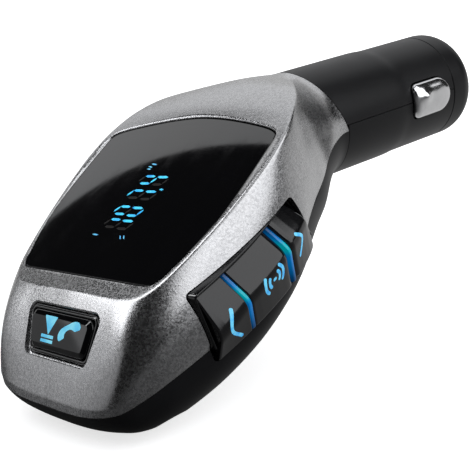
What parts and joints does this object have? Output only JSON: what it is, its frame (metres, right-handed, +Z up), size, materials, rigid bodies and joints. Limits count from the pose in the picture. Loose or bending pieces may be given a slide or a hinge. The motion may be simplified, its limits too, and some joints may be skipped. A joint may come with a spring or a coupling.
{
  "type": "car fm transmitter",
  "caption": "Car radio transmitter: angled head with sloped display, front button and side keys, on a lighter-socket plug with sprung contacts.",
  "frame": {"origin": "on the plug's axis, at the shoulder where the barrel meets the head", "axes": "+Y along the plug towards its tip, +Z up out of the display side, +X towards the side keys"},
  "size_m": [0.0544, 0.1085, 0.0459],
  "materials": {
    "silver": "satin metallic paint",
    "black": "satin",
    "gloss_black": "gloss",
    "light_blue": "clear blue",
    "numerals": "lit",
    "tape": "matt",
    "dark_plastic": "matt",
    "board": "satin",
    "switch": "matt",
    "parts": "matt",
    "steel": "satin",
    "chrome": "polished",
    "brass": "satin",
    "glass": "clear",
    "wire": "matt"
  },
  "bodies": {
    "housing": {"top_shell": "silver", "bottom_shell": "black", "plug_upper": "black", "plug_lower": "black", "nose_cap": "black", "display_lens": "gloss_black", "front_bezel": "gloss_black", "side_bezel": "gloss_black", "light_bar_front": "light_blue", "light_bar_rear": "light_blue", "display_numerals": "numerals", "lens_tape": "tape", "display_module": "dark_plastic", "pin_header": "dark_plastic", "main_chip": "dark_plastic", "audio_jack": "dark_plastic", "display_board": "board", "front_board": "board", "side_board": "board", "main_board": "board", "front_switch": "switch", "side_switches": "switch", "board_parts": "parts", "usb_socket": "steel", "card_slot": "steel", "microphone": "steel", "screws": "steel", "tip_spring": "steel", "spring_cup": "brass", "power_wires": "wire"},
    "front_button": {"front_button": "gloss_black"},
    "key_front": {"key_front": "gloss_black"},
    "key_middle": {"key_middle": "gloss_black"},
    "key_rear": {"key_rear": "gloss_black"},
    "tip": {"tip_contact": "chrome", "fuse": "glass"},
    "contact_right": {"contact_right": "chrome"},
    "contact_left": {"contact_left": "chrome"}
  },
  "joints": [
    {"name": "front_button_press", "type": "slide", "parent": "housing", "child": "front_button", "axis": [0, 0.8934, -0.4493], "range_m": [0, 0.0004], "stiffness_N_per_m": 1500},
    {"name": "key_front_press", "type": "slide", "parent": "housing", "child": "key_front", "axis": [-1, 0, 0], "range_m": [0, 0.0005], "stiffness_N_per_m": 1500},
    {"name": "key_middle_press", "type": "slide", "parent": "housing", "child": "key_middle", "axis": [-1, 0, 0], "range_m": [0, 0.0005], "stiffness_N_per_m": 1500},
    {"name": "key_rear_press", "type": "slide", "parent": "housing", "child": "key_rear", "axis": [-1, 0, 0], "range_m": [0, 0.0005], "stiffness_N_per_m": 1500},
    {"name": "tip_press", "type": "slide", "parent": "housing", "child": "tip", "axis": [0, -1, 0], "range_m": [0, 0.0025], "stiffness_N_per_m": 1200, "deforming": ["tip_spring"]},
    {"name": "contact_right_press", "type": "slide", "parent": "housing", "child": "contact_right", "axis": [-1, 0, 0], "range_m": [0, 0.0009], "stiffness_N_per_m": 1500},
    {"name": "contact_left_press", "type": "slide", "parent": "housing", "child": "contact_left", "axis": [1, 0, 0], "range_m": [0, 0.0009], "stiffness_N_per_m": 1500}
  ]
}
